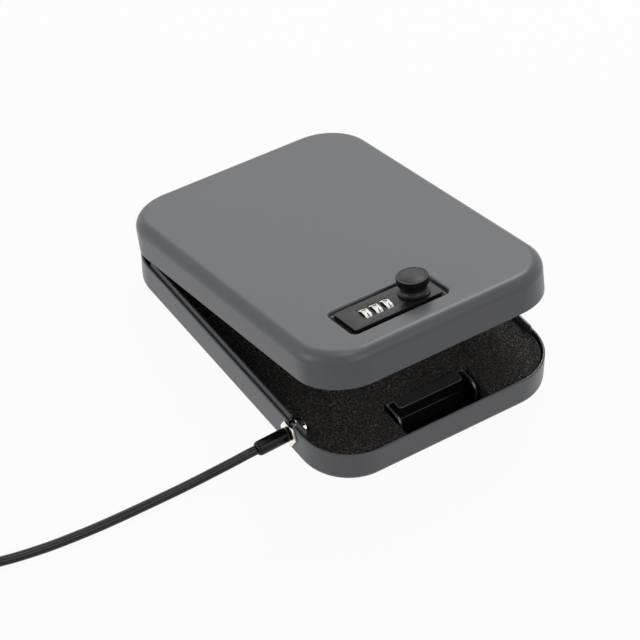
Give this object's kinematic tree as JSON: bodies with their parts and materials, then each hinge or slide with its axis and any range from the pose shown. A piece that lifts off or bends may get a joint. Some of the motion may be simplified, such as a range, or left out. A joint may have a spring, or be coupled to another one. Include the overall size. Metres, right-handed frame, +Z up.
{
  "type": "portable car safe",
  "caption": "Small two-part steel lock box with a hinged lid, combination wheels, a turning knob, foam lining and a tether cable with an end loop.",
  "frame": {"origin": "middle of the base's flat underside", "axes": "+X across the case with the cable on the -X side, +Y towards the hinge, +Z up"},
  "size_m": [0.4493, 0.2418, 0.0956],
  "materials": {
    "painted_steel": "fine textured charcoal powder coat",
    "foam": "matt open-cell foam",
    "black_steel": "black oxide, slightly glossy",
    "chrome": "bright chrome",
    "zinc": "zinc plated",
    "rubber": "matt black rubber",
    "cable_vinyl": "glossy black vinyl over steel cable",
    "black_satin": "satin black",
    "nickel": "bright nickel",
    "brass": "plain brass"
  },
  "bodies": {
    "base": {"base_shell": "painted_steel", "base_foam": "foam", "latch_keeper": "black_steel", "cable_gland": "chrome", "gland_washer": "zinc", "gland_nut": "chrome", "cable_boot": "rubber", "cable_run": "cable_vinyl", "cable_coil": "cable_vinyl", "crimp_sleeve": "zinc", "cable_eye_loop": "cable_vinyl", "hinge_base_leaf_left": "zinc", "hinge_base_leaf_right": "zinc", "hinge_pin_left": "zinc", "hinge_pin_right": "zinc"},
    "lid": {"lid_shell": "painted_steel", "lid_foam": "foam", "hinge_lid_leaf_left": "zinc", "hinge_lid_leaf_right": "zinc", "lock_plate": "black_satin", "lock_housing": "zinc", "wheel_axle": "zinc", "detent_spring": "zinc", "fence_bar": "zinc", "latch_carrier": "zinc", "plate_screw_1": "zinc", "plate_screw_2": "zinc", "plate_screw_3": "zinc", "plate_screw_4": "zinc", "carrier_screw_1": "zinc", "carrier_screw_2": "zinc"},
    "wheel_1": {"number_wheel_1": "nickel", "gate_disc_1": "brass"},
    "wheel_2": {"number_wheel_2": "nickel", "gate_disc_2": "brass"},
    "wheel_3": {"number_wheel_3": "nickel", "gate_disc_3": "brass"},
    "knob": {"knob": "black_satin", "knob_cap": "black_satin", "knob_spindle": "zinc", "spiral_cam": "zinc", "cam_screw": "zinc"},
    "latch": {"latch_slide": "zinc", "latch_pin": "zinc"}
  },
  "joints": [
    {"name": "lid_hinge", "type": "hinge", "parent": "base", "child": "lid", "pos_m": [0, 0.1145, 0.017], "axis": [-1, 0, 0], "range_deg": [-11.9, 78.1]},
    {"name": "wheel_1_spin", "type": "hinge", "parent": "lid", "child": "wheel_1", "pos_m": [-0.03265, -0.07761, 0.07721], "axis": [1, 0, 0], "continuous": true},
    {"name": "wheel_2_spin", "type": "hinge", "parent": "lid", "child": "wheel_2", "pos_m": [-0.0252, -0.07761, 0.07721], "axis": [1, 0, 0], "continuous": true},
    {"name": "wheel_3_spin", "type": "hinge", "parent": "lid", "child": "wheel_3", "pos_m": [-0.01775, -0.07761, 0.07721], "axis": [1, 0, 0], "continuous": true},
    {"name": "knob_turn", "type": "hinge", "parent": "lid", "child": "knob", "pos_m": [0, -0.0769, 0.0835], "axis": [0, 0.2062, 0.9785], "range_deg": [-90, 0]},
    {"name": "latch_travel", "type": "slide", "parent": "lid", "child": "latch", "axis": [0, -0.9785, 0.2062], "range_m": [-0.006, 0]}
  ],
  "couplings": [
    {"joint": "latch_travel", "follows": "knob_turn", "m_per_rad": 0.0038197}
  ]
}
